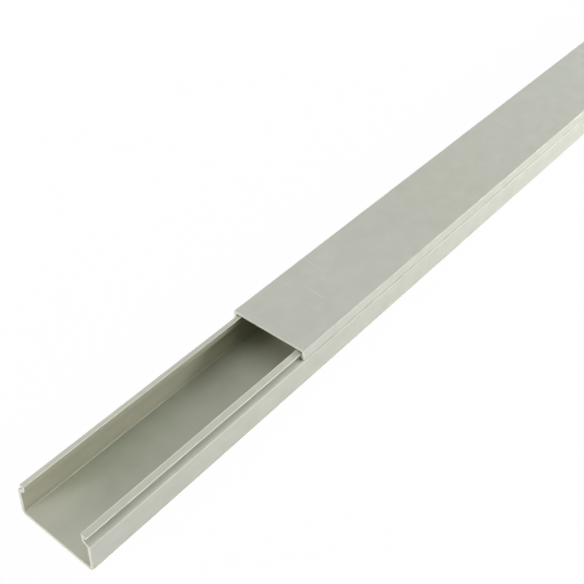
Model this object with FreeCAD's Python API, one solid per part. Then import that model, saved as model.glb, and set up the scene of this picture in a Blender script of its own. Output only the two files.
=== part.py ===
import FreeCAD, Part

import math
import os

from FreeCAD import Vector

# Clip-on cable trunking: a joggled U channel that is fixed to the wall, and a
# shallow C lid that hooks over the channel's two rims. Both are extruded plastic.
# X runs across, Y along and Z up from the back face. Sizes are in millimetres.

# Overall sizes
width = 40.0
height = 20.0
length = 1000.0
open_stretch = 120.0

# Base channel: floor, side walls and the ledges that the lid closes against
wall = 1.5
floor = 1.5
ledge_wall = 1.2
ledge_slope = 28.0
neck_inset = 3.05
neck_wall = 1.1

# Rims: flanges that slope outwards from a lip inside the necks, over the lid's hooks
rim_slope = 14.0
rim_root = 0.75
rim_tip = 0.85
lip_reach = 0.4
lip_edge = 0.45

# Lid: its top, its two short sides and the hooks along their lower edges. The
# sides stand a little inside the channel's, so that its edge shows as a line.
lid_top = 1.35
lid_side = 1.3
lid_depth = 5.9
lid_inset = 0.25
hook_wall = 1.1

# Clearances between the lid and the channel
seam_gap = 0.35
rim_top_gap = 0.25
rim_side_gap = 0.2
hook_gap = 0.3

# Roundings
foot_radius = 2.2
floor_fillet = 0.8
bend_radius = 0.6
edge_radius = 0.25
tip_radius = 0.35
arris_radius = 0.45

# The longest share of a side that one rounding may take
side_share = 0.45

# Heights and widths that follow from the values above
half = width / 2
lid_half = half - lid_inset
lid_inside = lid_half - lid_side
ledge_rise = math.tan(math.radians(ledge_slope))
ledge_drop = ledge_wall / math.cos(math.radians(ledge_slope))
rim_fall = math.tan(math.radians(rim_slope))
ledge_edge = height - lid_depth - seam_gap
rim_top = height - lid_top - rim_top_gap
rim_reach = lid_inside - rim_side_gap
neck_outer = half - neck_inset
neck_inner = neck_outer - neck_wall
rim_inner = neck_inner - lip_reach
hook_rise = hook_wall / math.cos(math.radians(ledge_slope))


def ledge_top(x):
    """Height of the ledge's outer face at a distance x from the middle."""
    return ledge_edge + (half - x) * ledge_rise


def ledge_under(x):
    """Height of the ledge's inner face at a distance x from the middle."""
    return ledge_top(x) - ledge_drop


def rim_over(x):
    """Height of the rim's upper face at a distance x from the middle."""
    return rim_top - (x - rim_inner) * rim_fall


def rim_under(x):
    """Height of the rim's lower face, which thickens the rim towards its tip."""
    share = (x - neck_outer) / (rim_reach - neck_outer)
    return rim_over(x) - rim_root - (rim_tip - rim_root) * share


def hook_over(x):
    """Height of the upper face of the lid's hook, which is parallel to the ledge."""
    return ledge_top(x) + seam_gap + hook_rise


def round_corner(before, corner, after, radius):
    """The two tangent points and the middle of the arc that rounds a corner."""
    back = before - corner
    ahead = after - corner
    shorter = min(back.Length, ahead.Length)
    back.normalize()
    ahead.normalize()
    half_angle = back.getAngle(ahead) / 2
    setback = min(radius / math.tan(half_angle), side_share * shorter)
    fitted_radius = setback * math.tan(half_angle)
    to_centre = setback / math.cos(half_angle)
    inward = (back + ahead).normalize()
    return (
        corner + back * setback,
        corner + inward * (to_centre - fitted_radius),
        corner + ahead * setback,
    )


def extruded(right_half, start):
    """Extrude a section along Y from its right half, a list of (x, z, radius)."""
    left_half = [(-x, z, radius) for x, z, radius in reversed(right_half)]
    corners = right_half + left_half
    points = [Vector(x, start, z) for x, z, radius in corners]
    arcs = []
    for index, (x, z, radius) in enumerate(corners):
        after = points[(index + 1) % len(points)]
        arcs.append(round_corner(points[index - 1], points[index], after, radius))
    edges = []
    for index, (first, middle, last) in enumerate(arcs):
        edges.append(Part.LineSegment(arcs[index - 1][2], first).toShape())
        edges.append(Part.Arc(first, middle, last).toShape())
    return Part.Face(Part.Wire(edges)).extrude(Vector(0, length, 0))


def base_channel():
    """The channel: floor, walls, sloped ledges, necks and the rims on them."""
    inside = half - wall
    section = [
        (half, 0, foot_radius),
        (half, ledge_edge, bend_radius),
        (neck_outer, ledge_top(neck_outer), bend_radius),
        (neck_outer, rim_under(neck_outer), edge_radius),
        (rim_reach, rim_under(rim_reach), edge_radius),
        (rim_reach, rim_over(rim_reach), tip_radius),
        (rim_inner, rim_top, edge_radius),
        (rim_inner, rim_top - lip_edge, edge_radius),
        (neck_inner, rim_over(neck_inner) - rim_root, edge_radius),
        (neck_inner, ledge_under(neck_inner), bend_radius),
        (inside, ledge_under(inside), bend_radius),
        (inside, floor, floor_fillet),
    ]
    return extruded(section, -length / 2)


def lid():
    """The lid, drawn back so that the first stretch of the channel is open."""
    hook_reach = neck_outer + hook_gap
    section = [
        (lid_half, height, arris_radius),
        (lid_half, ledge_top(lid_half) + seam_gap, edge_radius),
        (hook_reach, ledge_top(hook_reach) + seam_gap, edge_radius),
        (hook_reach, hook_over(hook_reach), edge_radius),
        (lid_inside, hook_over(lid_inside), edge_radius),
        (lid_inside, height - lid_top, edge_radius),
    ]
    return extruded(section, open_stretch - length / 2)


os.makedirs("parts", exist_ok=True)
base_channel().exportStep("parts/base_channel.step")
lid().exportStep("parts/lid.step")
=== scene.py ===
# %% [markdown]
# Clip-on cable trunking: a grey plastic channel with its lid pushed back. Both real
# pieces are extruded: warm plastic is pushed through a steel die, cooled and sawn to
# length. So the section is the same all the way along, and everything that makes it
# look real is fine: hair lines left by the die, paler sawn ends, a few scuffs.
# The two solids come ready made at their real size, and this lesson dresses them.

import math

import bmesh
import bpy
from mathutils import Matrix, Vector


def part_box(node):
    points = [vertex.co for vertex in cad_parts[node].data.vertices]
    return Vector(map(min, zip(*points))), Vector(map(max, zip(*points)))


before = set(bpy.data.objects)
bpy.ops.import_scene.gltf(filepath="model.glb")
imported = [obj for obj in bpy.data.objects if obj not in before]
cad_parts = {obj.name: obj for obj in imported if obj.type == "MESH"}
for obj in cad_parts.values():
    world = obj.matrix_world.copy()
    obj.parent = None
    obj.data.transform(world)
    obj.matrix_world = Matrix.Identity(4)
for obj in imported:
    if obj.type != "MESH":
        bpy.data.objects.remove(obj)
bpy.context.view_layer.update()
print("solids:", sorted(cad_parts))

# %% [markdown]
# Shader maths reads best as plain Python. A Wire holds one output of a node, and the
# operators on it add the Math nodes, so that 1 - mask or mask * 0.5 can be written
# as they are. The nodes could be laid out one by one instead, but a sum of three
# masks would then take a dozen lines.

# %% A wire that can be added and multiplied
class Wire:
    """One output socket of a shader node."""

    def __init__(self, socket):
        self.socket = socket

    def maths(self, operation, *values):
        """Add a Math node. None among the values is the place of this wire."""
        tree = self.socket.id_data
        node = tree.nodes.new("ShaderNodeMath")
        node.operation = operation
        for place, value in zip(node.inputs, values):
            if value is None:
                tree.links.new(self.socket, place)
            elif isinstance(value, Wire):
                tree.links.new(value.socket, place)
            else:
                place.default_value = value
        return Wire(node.outputs[0])

    def __add__(self, other):
        return self.maths("ADD", None, other)

    def __radd__(self, other):
        return self.maths("ADD", other, None)

    def __sub__(self, other):
        return self.maths("SUBTRACT", None, other)

    def __rsub__(self, other):
        return self.maths("SUBTRACT", other, None)

    def __mul__(self, other):
        return self.maths("MULTIPLY", None, other)

    def __rmul__(self, other):
        return self.maths("MULTIPLY", other, None)

    def __lt__(self, other):
        return self.maths("LESS_THAN", None, other)

    def __abs__(self):
        return self.maths("ABSOLUTE", None)


print("operators on a wire: + - * < and abs()")

# %% [markdown]
# A Recipe is the node tree of one material or of the world. Every node but Math comes
# from one method, so that a layer of the finish takes a line or two. Colours go
# through a Mix node, because a Math node would turn them grey.

# %% A recipe and the way to add a node to it
class Recipe:
    """The node tree of a material or of the world."""

    def __init__(self, owner):
        owner.use_nodes = True
        self.tree = owner.node_tree
        self.tree.nodes.clear()

    def node(self, kind, settings=None, **sockets):
        """Add a node: its settings first, then values or wires for its inputs.
        A socket is named in lower case with _ for a space, or by its number, as i6."""
        node = self.tree.nodes.new(kind)
        for name, value in (settings or {}).items():
            setattr(node, name, value)
        for name, value in sockets.items():
            socket = self.find_input(node, name)
            if isinstance(value, Wire):
                self.tree.links.new(value.socket, socket)
            else:
                socket.default_value = value
        return node

    @staticmethod
    def find_input(node, name):
        if name[1:].isdigit():
            return node.inputs[int(name[1:])]
        return next(s for s in node.inputs if s.name.lower().replace(" ", "_") == name)

    def wire(self, kind, settings=None, output=0, **sockets):
        return Wire(self.node(kind, settings, **sockets).outputs[output])

    def mix(self, factor, first, second, blend="MIX"):
        """Go from the first colour to the second as the factor goes from 0 to 1.
        A Mix node has its factor in input 0, its colours in 6 and 7 and in output 2."""
        settings = {"data_type": "RGBA", "blend_type": blend}
        return self.wire("ShaderNodeMix", settings, 2, i0=factor, i6=first, i7=second)

    def tint(self, factor, first, second):
        """Multiply the first colour by the second, where the factor is 1."""
        return self.mix(factor, first, second, "MULTIPLY")

    def fade(self, value, start, end):
        """0 at the start and 1 at the end, smoothly, whichever of them is greater."""
        settings = {"interpolation_type": "SMOOTHSTEP"}
        return self.wire("ShaderNodeMapRange", settings, value=value, from_min=start, from_max=end)

    def sees_backdrop(self):
        """1 for the rays that show the backdrop: straight, in a gloss or through glass."""
        kinds = self.node("ShaderNodeLightPath").outputs
        seen = Wire(kinds["Is Camera Ray"])
        for kind in ("Is Glossy Ray", "Is Transmission Ray"):
            seen = seen.maths("MAXIMUM", None, Wire(kinds[kind]))
        return seen


print("a recipe has: node, wire, mix, tint, fade and sees_backdrop")

# %% [markdown]
# The camera looks down along the channel from its open end. A long lens far away
# would make the edges run parallel; in the photograph they close in on each other
# quickly, so the camera stands under half a metre from the end. Its place and lens
# were worked out from the edges of the section, which is known in size.

# %% Camera
# The place is in metres and the turn in degrees
camera_place = (0.2154, -0.6314, 0.3291)
camera_turn = (54.859, 0.138, 40.349)
lens_mm = 64.49
frame_shift = (0.0378, -0.183)
nearest_seen = 0.01


def add_camera():
    data = bpy.data.cameras.new("camera")
    data.lens = lens_mm
    data.shift_x, data.shift_y = frame_shift
    data.clip_start = nearest_seen
    camera = bpy.data.objects.new("camera", data)
    camera.location = camera_place
    camera.rotation_euler = [math.radians(angle) for angle in camera_turn]
    bpy.context.scene.collection.objects.link(camera)
    bpy.context.scene.camera = camera
    return camera


print("camera:", add_camera().name, "lens", lens_mm, "mm")

# %% [markdown]
# The trunking lies on a plain white floor. A studio would hang a curved sheet of
# paper; here a large plane is enough, because the sky behind it is the same white.
# The camera and the reflections see it mostly as plain white, with a part of its true
# shading left in, which keeps the soft shadow. All other rays see ordinary white
# paper, which bounces light up at the walls.

# %% Floor
white = (1.0, 1.0, 1.0, 1.0)
paper_colour = (0.95, 0.93, 0.97, 1.0)
floor_half_width = 6.0
plain_white_share = 0.97


def add_floor():
    shape = bmesh.new()
    bmesh.ops.create_grid(shape, x_segments=1, y_segments=1, size=floor_half_width)
    mesh = bpy.data.meshes.new("floor")
    shape.to_mesh(mesh)
    shape.free()
    floor = bpy.data.objects.new("floor", mesh)
    bpy.context.scene.collection.objects.link(floor)
    return floor


def floor_finish():
    material = bpy.data.materials.new("white_floor")
    recipe = Recipe(material)
    paper = recipe.wire("ShaderNodeBsdfDiffuse", color=paper_colour)
    plain = recipe.wire("ShaderNodeEmission", color=white, strength=1.0)
    seen_white = recipe.sees_backdrop() * plain_white_share
    surface = recipe.wire("ShaderNodeMixShader", i0=seen_white, i1=paper, i2=plain)
    recipe.node("ShaderNodeOutputMaterial", surface=surface)
    return material


floor = add_floor()
floor.data.materials.append(floor_finish())
print("floor:", 2 * floor_half_width, "m wide")

# %% [markdown]
# Where the camera or a reflection looks past the floor, the sky is the same plain
# white. For all other rays it is nearly dark. An even sky could light the whole scene
# by itself, but it would also fill the channel, whose depth shows only where it is
# darker inside.

# %% Sky
sky_strength = 0.03


def add_sky():
    world = bpy.data.worlds.new("white_sky")
    bpy.context.scene.world = world
    recipe = Recipe(world)
    strength = recipe.sees_backdrop() * (1.0 - sky_strength) + sky_strength
    sky = recipe.wire("ShaderNodeBackground", color=white, strength=strength)
    recipe.node("ShaderNodeOutputWorld", surface=sky)


add_sky()
bpy.context.scene.view_settings.view_transform = "Standard"
print("sky:", sky_strength, "as a light and 1 as a backdrop")

# %% [markdown]
# The light is that of a small product studio, set so that a colour renders about as
# it is written, and each lamp has one job. The softbox overhead lights the lid, and
# one at the far right makes the long wall grow lighter away from the camera. The one
# below it is so low that the right rim keeps it out of the channel: it lights that
# wall alone. Two in front, nearly in line with the channel, light its floor far in
# under the lid, and a weak one on the right reaches its left wall. Two on the left
# and one at the back fill in the sides that the photograph doesn't show. The last
# hangs over the stretch past the photograph, where the lid slides out. Small tints
# keep the lid cool and the inside warm. The boxes are hidden from the camera, which
# also looks from other sides, and the two in front from reflections, which would
# glare from behind. A grid on a box narrows its beam to its own stretch.

# %% Softboxes
# Each is its place, its aim and its size in metres, then its watts and its tint
softboxes = {
    "overhead": ((0.0, -0.3, 1.3), (0.0, -0.3, 0.0), (1.0, 1.4), 5.35, (0.98, 1.01, 1.07)),
    "high_left": ((-0.9, -0.1, 1.0), (0.0, -0.1, 0.0), (0.8, 1.4), 2.1, (1.0, 1.0, 0.9)),
    "far_right": ((0.8, 0.55, 0.45), (0.0, -0.4, 0.0), (0.6, 0.3), 5.7, (1.0, 1.0, 1.03)),
    "low_right": ((0.8, 0.55, 0.16), (0.0, -0.4, 0.0), (0.6, 0.2), 3.6, (0.98, 1.0, 1.0)),
    "right": ((0.8, -0.15, 0.5), (0.0, -0.2, 0.0), (0.6, 0.3), 1.3, (1.08, 0.96, 0.90)),
    "front": ((-0.06, -1.6, 0.3), (0.0, -0.4, 0.0), (0.22, 0.2), 6.4, (1.08, 1.0, 0.82)),
    "front_left": ((-0.3, -1.5, 0.45), (0.0, -0.4, 0.0), (0.25, 0.25), 4.9, (1.0, 0.95, 1.05)),
    "back": ((0.0, 1.2, 0.9), (0.0, -0.1, 0.0), (1.0, 0.6), 2.7, (0.96, 1.04, 1.30)),
    "far_overhead": ((0.0, 1.1, 1.3), (0.0, 1.1, 0.0), (1.0, 1.2), 1.7, (0.96, 1.0, 1.06)),
    "low_left": ((-0.8, -0.3, 0.15), (0.0, -0.3, 0.0), (0.8, 0.25), 2.8, (1.0, 0.96, 0.88)),
}
# Beams are full angles in degrees
open_beam = 180.0
grid_beams = {"far_right": 140.0, "low_right": 140.0, "far_overhead": 70.0}
no_glare = ("front", "front_left")


def add_softbox(name, place, aim, size, watts, tint):
    data = bpy.data.lights.new(name, "AREA")
    data.shape = "RECTANGLE"
    data.size, data.size_y = size
    data.energy = watts
    data.color = tint
    data.spread = math.radians(grid_beams.get(name, open_beam))
    box = bpy.data.objects.new(name, data)
    box.location = place
    box.rotation_euler = (Vector(aim) - Vector(place)).to_track_quat("-Z", "Y").to_euler()
    box.visible_camera = False
    box.visible_glossy = name not in no_glare
    bpy.context.scene.collection.objects.link(box)


for name, settings in softboxes.items():
    add_softbox(name, *settings)
print("softboxes:", ", ".join(softboxes))

# %% [markdown]
# Every layer of the plastic asks where a point lies: how far across, along and up the
# piece, and whether its face looks inwards. A UV map could tell, but it would have to
# be unrolled first. A piece's Object coordinates are there already, and they are
# metres from the middle of the channel's back, so real sizes can be used as they are.

# %% Where a point lies
# On an inner wall, across times the normal's X is about twice this
inward_product = -0.009


class Place:
    """Where a point lies on its piece, in metres: the whole vector and its parts.
    inward is 1 on the faces that look towards the middle of the section."""

    def __init__(self, recipe):
        seen = recipe.node("ShaderNodeTexCoord").outputs
        self.vector = Wire(seen["Object"])
        parts = recipe.node("ShaderNodeSeparateXYZ", vector=self.vector).outputs
        self.across, self.along, self.up = (Wire(part) for part in parts)
        facing = recipe.node("ShaderNodeSeparateXYZ", vector=Wire(seen["Normal"])).outputs
        self.inward = Wire(facing["X"]) * self.across < inward_product


print("a place has: vector, across, along, up and inward")

# %% [markdown]
# The plastic is rigid PVC of a stone grey with a touch of green. Up close it isn't
# even: tiny flaws in the die draw hair lines along the whole length, the colour
# wanders a little where the melt was mixed less well, and fingers leave smudges. A
# picture of plastic would repeat along a metre of it, so all three are noise, drawn
# out along the length: the hair lines far, the clouds and smudges a little.

# %% Hair lines, clouds and smudges in the plastic
# Each noise is its grains per metre, its stretch along the length, its detail and a
# shift that keeps it apart from the others
hair_line_noise = (1400.0, 0.003, 3.0, (0.0, 0.0, 0.0))
cloud_noise = (22.0, 0.45, 3.0, (3.0, 7.0, 1.0))
smudge_noise = (170.0, 0.7, 4.0, (5.0, 2.0, 4.0))
line_share, cloud_share, smudge_share = 0.1, 0.2, 0.7
cloud_dark = (0.402, 0.416, 0.348, 1.0)
cloud_light = (0.525, 0.541, 0.463, 1.0)


def noise(recipe, place, per_metre, stretch, detail, shift):
    """Noise from 0 to 1 that is drawn out along the length by a stretch under 1."""
    squeezed = recipe.wire(
        "ShaderNodeMapping", vector=place.vector, location=shift, scale=(1.0, stretch, 1.0)
    )
    return recipe.wire("ShaderNodeTexNoise", vector=squeezed, scale=per_metre, detail=detail)


def plastic_colour(recipe, place, lines, cloud):
    smudge = noise(recipe, place, *smudge_noise)
    tone = cloud_share * cloud + line_share * lines + smudge_share * smudge
    return recipe.mix(tone, cloud_dark, cloud_light)


print("hair lines", round(1000 / hair_line_noise[0], 2), "mm apart")

# %% [markdown]
# Both pieces were sawn to length. A saw leaves a dull, paler face and a paler fringe
# where it breaks out at the edges. It tears the walls more than the floor, so they are
# paler. The ends could be picked out face by face, but the distance from the end of
# the piece's box finds them as well, and it lets the fringe fade.

# %% Sawn ends
sawn_cream = (0.540, 0.542, 0.488, 1.0)
sawn_clean = (0.520, 0.540, 0.465, 1.0)
sawn_lid = (0.600, 0.620, 0.560, 1.0)
clean_height, torn_height = 0.0015, 0.0045
sawn_depth = 0.00006
fringe_depth = 0.0005
fringe_share = 0.6


def end_distance(place, node_name):
    """Metres from the nearer sawn end, along the length."""
    low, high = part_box(node_name)
    middle = (low[1] + high[1]) / 2
    half = (high[1] - low[1]) / 2
    return half - abs(place.along - middle)


def sawn_colour(recipe, place, colour, end, sawn, low_tone, high_tone):
    """The colour with the fringe and then the sawn face laid over it."""
    cut = recipe.mix(recipe.fade(place.up, clean_height, torn_height), low_tone, high_tone)
    fringe = recipe.fade(end, fringe_depth, 0.0) * fringe_share
    colour = recipe.mix(fringe, colour, cut)
    return recipe.mix(sawn, colour, cut)


print("pale fringe", 1000 * fringe_depth, "mm deep")

# %% [markdown]
# The teeth of a round saw leave arcs about its centre, which stood beside the piece
# and below it. Real grooves would need a very fine mesh, and these are only felt, so
# they are left to the relief: a Wave texture draws rings about the origin, and a
# Mapping node brings the saw's centre there and flattens the length away.

# %% Saw marks
saw_centre = (0.055, 0.0, -0.085)
saw_mark_pitch = 0.00042
saw_wobble, wobble_detail = 2.5, 2.0
# A Wave texture of scale 1 has this many rings in a metre
rings_per_metre = 20.0 / math.tau


def saw_marks(recipe, place):
    """Rings about the saw's centre, from 0 to 1."""
    from_saw = recipe.wire(
        "ShaderNodeMapping",
        vector=place.vector,
        location=[-distance for distance in saw_centre],
        scale=(1.0, 0.0, 1.0),
    )
    return recipe.wire(
        "ShaderNodeTexWave",
        {"wave_type": "RINGS", "rings_direction": "SPHERICAL"},
        output=1,
        vector=from_saw,
        scale=1.0 / (saw_mark_pitch * rings_per_metre),
        distortion=saw_wobble,
        detail=wobble_detail,
    )


print("saw marks", 1000 * saw_mark_pitch, "mm apart")

# %% [markdown]
# Long edges that stand proud rub against the carton and the neighbours in the bundle
# and turn pale. Their pale lines are also painted highlights, standing in for the
# light that the rounded arrises catch. The thin pale line in each inner corner of the
# channel's floor is a painted highlight only.
# Pointiness could find edges, but it needs a finer mesh than these long triangles.
# Each of them is a straight line along the piece, so its distance is simply the
# distance from a point of the section, and a short ramp makes that a thin pale line.

# %% Pale edges: wear and painted highlights
# The pale lines are worn edges and painted highlights at once
painted_light_and_wear_cream = (0.758, 0.758, 0.660, 1.0)
highlight_and_wear_share = 0.8
least_highlight_and_wear = 0.4
lip_inset = 0.0045
tip_inset, tip_drop = 0.00175, 0.00106
corner_inset = 0.00173
seam_drop = 0.0006
half_width, _, rim_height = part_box("base_channel")[1]
lid_low, lid_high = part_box("lid")
# Each edge is its distance across and its height, then how far its pale line reaches
channel_edges = [
    ((half_width - lip_inset, rim_height), 0.00065),
    ((half_width - tip_inset, rim_height - tip_drop), 0.0006),
    ((half_width, lid_low[2] - seam_drop), 0.0004),
    # The floor's inner corner line is a painted highlight only
    ((half_width - corner_inset, corner_inset), 0.00028),
]
lid_edges = [((lid_high[0], lid_high[2]), 0.0003)]


def near_edge(recipe, place, edge, reach):
    """1 on a long edge, falling to 0 at its reach. Both sides of the piece match."""
    section = recipe.wire("ShaderNodeCombineXYZ", x=abs(place.across), z=place.up)
    distance = recipe.wire(
        "ShaderNodeVectorMath",
        {"operation": "DISTANCE"},
        output=1,
        i0=section,
        i1=(edge[0], 0.0, edge[1]),
    )
    return recipe.fade(distance, reach, 0.0)


def highlight_and_wear_colour(recipe, place, colour, edges, cloud):
    """The colour with pale edges, worn and painted highlights at once, paler where clouds are
    light.
    """
    pale_lines = sum(near_edge(recipe, place, edge, reach) for edge, reach in edges)
    patchy = pale_lines * (least_highlight_and_wear + (1.0 - least_highlight_and_wear) * cloud)
    return recipe.mix(patchy * highlight_and_wear_share, colour, painted_light_and_wear_cream)


print("pale lines: channel", len(channel_edges), "and lid", len(lid_edges), "on each side")

# %% [markdown]
# Inside the channel, colour stands in for light and shade. Its inner walls are painted a
# little warmer than the outside, as light warmed by bouncing inside, and darker towards
# the lip, as painted shade. Its floor gets a painted shade too, and near the ends it is
# painted paler, as painted light coming in at the open end. On the outside, the groove
# under the rim is painted dark, as painted shade. These are tints over the same plastic,
# not materials of their own, so that they can fade out.

# %% Painted shade in the groove, on the inner walls and floor, painted light near the ends
# The groove under the rim is painted dark: a painted shade
groove_shade_grey = (0.265, 0.276, 0.230, 1.0)
groove_shade_share = 0.75
groove_inset, groove_drop = 0.0028, 0.00446
groove = (half_width - groove_inset, rim_height - groove_drop)
groove_reach = 0.0032
# Inner walls: painted shade darkening towards the lip, and a painted warm cast of bounced light
wall_shade_low, wall_shade_high = (1.06, 1.04, 0.95, 1.0), (0.82, 0.80, 0.72, 1.0)
shade_starts, shade_ends = 0.004, 0.013
# The channel's floor is darkened by a painted shade
floor_shade_tint = (0.93, 0.955, 0.89, 1.0)
floor_height = 0.0017
# The floor near the ends is painted paler: painted light from the open end
painted_end_light_reach = 0.032
painted_end_light_share = 0.36


def channel_layers(recipe, place, colour, end):
    """The channel's painted light and shade: the groove, inner walls, floor and ends."""
    # Painted shade in the groove under the rim
    groove_shade = near_edge(recipe, place, groove, groove_reach) * (1 - place.inward)
    colour = recipe.mix(groove_shade * groove_shade_share, colour, groove_shade_grey)
    shade = recipe.mix(recipe.fade(place.up, shade_starts, shade_ends), wall_shade_low, wall_shade_high)
    colour = recipe.tint(place.inward, colour, shade)
    on_floor = place.up < floor_height
    colour = recipe.tint(on_floor, colour, floor_shade_tint)
    # Painted light on the floor near the ends
    painted_end_light = recipe.fade(end, painted_end_light_reach, 0.0) * on_floor
    return recipe.mix(painted_end_light * painted_end_light_share, colour, painted_light_and_wear_cream)


# Painted light on the floor near the ends reaches this far
print("sawdust reaches", 1000 * painted_end_light_reach, "mm in")

# %% [markdown]
# The lid has been handled: it is a shade paler near its ends, by which it is pushed.
# A few light scratches run across it behind its front edge, as from pushing the
# pieces over each other. They could be painted on an image, but straight lines are
# simpler to give as numbers. A Mapping node of the Texture kind moves a point into
# the scratch's own frame, where the line is the X axis.

# %% Handled ends and scratches
handled_pale = (0.615, 0.666, 0.656, 1.0)
handled_share = 0.11
pale_until, pale_gone = 0.03, 0.15
scratch_half_width = 0.00035
# Each scratch is its middle, across and behind the lid's front edge, its turn in
# degrees, its length and its strength
drag_marks = [
    ((-0.0006, 0.0323), -4.0, 0.0160, 1.0),
    ((-0.0139, 0.0283), 6.0, 0.0070, 0.8),
    ((-0.0142, 0.0471), -3.0, 0.0070, 0.8),
    ((-0.0015, 0.0421), 2.0, 0.0090, 0.5),
    ((-0.0092, 0.0562), -12.0, 0.0030, 0.8),
    ((-0.0098, 0.0179), 3.0, 0.0066, 0.6),
    ((0.0070, 0.0240), -6.0, 0.0120, 0.4),
    ((0.0030, 0.0720), -2.0, 0.0100, 0.4),
]


def lid_layers(recipe, place, colour, end):
    """The lid's own layer: its pale, handled ends."""
    handled = recipe.fade(end, pale_gone, pale_until)
    return recipe.mix(handled * handled_share, colour, handled_pale)


def scratch(recipe, place, middle, turn, length, strength):
    """One straight scratch in the top of the lid: its strength on the line, 0 beside it."""
    own = recipe.wire(
        "ShaderNodeMapping",
        {"vector_type": "TEXTURE"},
        vector=place.vector,
        location=(middle[0], lid_low[1] + middle[1], 0.0),
        rotation=(0.0, 0.0, math.radians(turn)),
    )
    parts = recipe.node("ShaderNodeSeparateXYZ", vector=own).outputs
    along_it, across_it = abs(Wire(parts["X"])), abs(Wire(parts["Y"]))
    within = recipe.fade(along_it, length / 2, length / 4)
    return recipe.fade(across_it, scratch_half_width, 0.0) * within * strength


print("scratches:", len(drag_marks))

# %% [markdown]
# Now the layers become one finish: the plastic, the piece's own layers, its pale
# edges, its sawn ends, and on the lid the scratches. Each layer could be a material
# of its own on its own faces, but only within one material can they fade into each
# other. The gloss and the relief follow the same masks: a hair line is a shallow
# groove, and a sawn face is dull. One Bump node carries all the relief, so its height
# is in parts of one distance.

# %% The finish of a piece
plain_roughness = 0.4
line_roughness, sawn_roughness, scratch_roughness = 0.12, 0.15, 0.1
gloss_level = 0.3
relief_depth = 0.00003
line_relief, saw_mark_relief = 0.6, 0.7
scratch_share = 0.4


def layered_plastic(name, node_name, edges, cut_tones, own_layers, scratches=()):
    material = bpy.data.materials.new(name)
    recipe = Recipe(material)
    place = Place(recipe)
    lines = noise(recipe, place, *hair_line_noise)
    cloud = noise(recipe, place, *cloud_noise)
    end = end_distance(place, node_name)
    sawn = end < sawn_depth

    colour = plastic_colour(recipe, place, lines, cloud)
    colour = own_layers(recipe, place, colour, end)
    colour = highlight_and_wear_colour(recipe, place, colour, edges, cloud)
    colour = sawn_colour(recipe, place, colour, end, sawn, *cut_tones)
    roughness = plain_roughness + line_roughness * lines + sawn_roughness * sawn
    if scratches:
        scratched = sum(scratch(recipe, place, *mark) for mark in scratches)
        colour = recipe.mix(scratched * scratch_share, colour, painted_light_and_wear_cream)
        roughness = roughness + scratch_roughness * scratched

    sawn_relief = saw_marks(recipe, place) * saw_mark_relief * sawn
    height = lines * line_relief * (1 - sawn) + sawn_relief
    bump = recipe.wire("ShaderNodeBump", strength=1.0, distance=relief_depth, height=height)
    skin = recipe.wire(
        "ShaderNodeBsdfPrincipled",
        base_color=colour,
        roughness=roughness,
        specular_ior_level=gloss_level,
        normal=bump,
    )
    recipe.node("ShaderNodeOutputMaterial", surface=skin)
    return material


print("roughness from", plain_roughness, "up, relief", 1000 * relief_depth, "mm")

# %% [markdown]
# The channel and the lid came out of different dies and wear differently, so each has
# a finish of its own. One material for both would be shorter, but it couldn't tell
# the lid's sawn end from the middle of the channel. The solids keep their shape: the
# finish only takes the place of the material that they came with.

# %% Dress the two pieces
channel_plastic = layered_plastic(
    "channel_plastic", "base_channel", channel_edges, (sawn_clean, sawn_cream), channel_layers
)
lid_plastic = layered_plastic(
    "lid_plastic", "lid", lid_edges, (sawn_lid, sawn_lid), lid_layers, drag_marks
)


def dress(node_name, material):
    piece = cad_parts[node_name]
    piece.data.materials.clear()
    piece.data.materials.append(material)
    print(piece.name, "wears", material.name)


dress("base_channel", channel_plastic)
dress("lid", lid_plastic)
